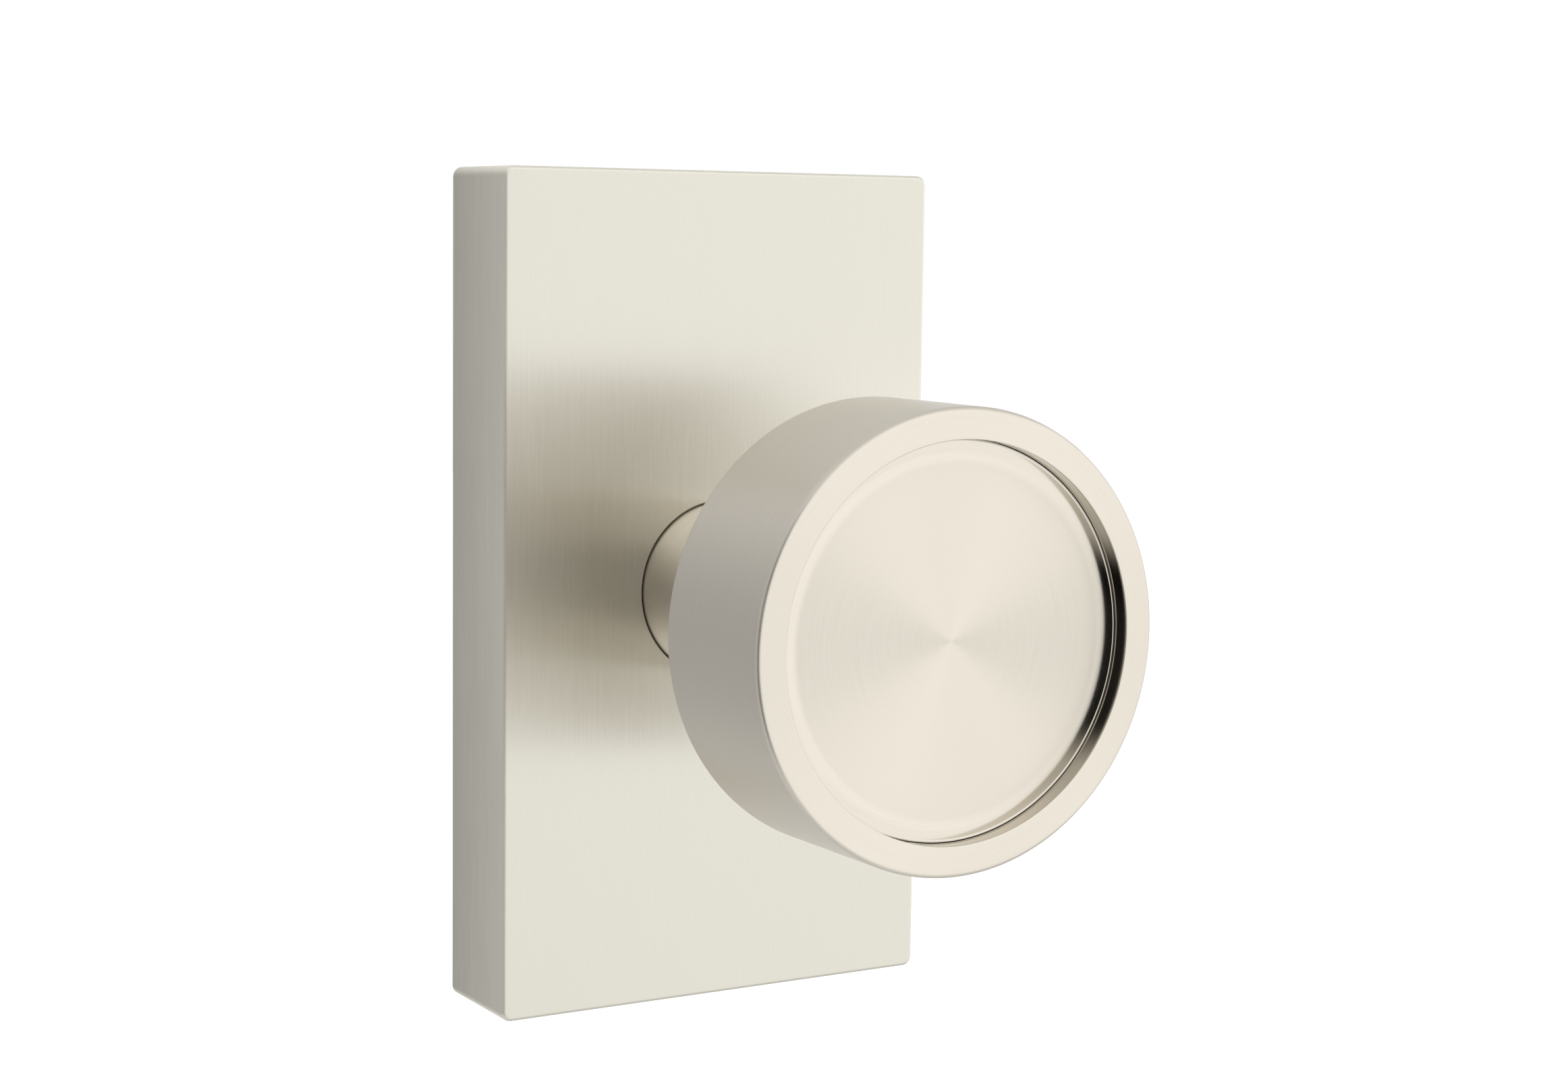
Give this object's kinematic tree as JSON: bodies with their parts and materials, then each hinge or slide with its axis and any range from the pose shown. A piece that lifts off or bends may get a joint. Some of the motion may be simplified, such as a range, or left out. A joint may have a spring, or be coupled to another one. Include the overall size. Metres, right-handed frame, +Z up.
{
  "type": "door knob",
  "caption": "Round door knob with a shallow recessed face on a plain neck, spring-returned in a deep rectangular rosette, with spindle and mounting posts.",
  "frame": {"origin": "on the knob's axis at the door face, midway between the two mounting posts", "axes": "+Z up; the knob stands out of the door towards -Y and the spindle runs into the door towards +Y; +X is to the right as seen from in front of the knob"},
  "size_m": [0.062, 0.1135, 0.108],
  "materials": {
    "satin_rosette": "satin nickel, brushed upright",
    "satin_knob": "satin nickel, brushed round the axis",
    "plain_steel": "zinc-plated machined steel",
    "zinc_plate": "zinc-plated pressed steel",
    "die_cast": "bare die-cast zinc",
    "spring_steel": "dark oiled spring steel",
    "nylon": "natural nylon",
    "foam": "closed-cell foam"
  },
  "bodies": {
    "rosette": {"rosette_cover": "satin_rosette", "cover_screw": "plain_steel", "backing_pad": "foam", "mounting_plate": "zinc_plate", "mounting_posts": "plain_steel", "spring_cage": "die_cast", "cage_screws": "plain_steel", "bearing_bush": "nylon", "thrust_washer": "nylon", "centering_peg": "plain_steel", "stop_pins": "plain_steel", "return_spring": "spring_steel"},
    "knob": {"knob_head": "satin_knob", "face_disc": "satin_knob", "head_screw": "plain_steel", "lock_washer": "spring_steel", "head_dowels": "plain_steel", "neck": "satin_knob", "drive_hub": "die_cast", "drive_peg": "plain_steel", "wave_washer": "spring_steel", "rear_washer": "plain_steel", "retaining_ring": "spring_steel", "spindle": "zinc_plate", "spindle_pin": "spring_steel"}
  },
  "joints": [
    {"name": "knob_turn", "type": "hinge", "parent": "rosette", "child": "knob", "pos_m": [0, 0, 0], "axis": [0, -1, 0], "range_deg": [-60, 60], "stiffness_Nm_per_rad": 0.5, "deforming": ["return_spring"]}
  ]
}
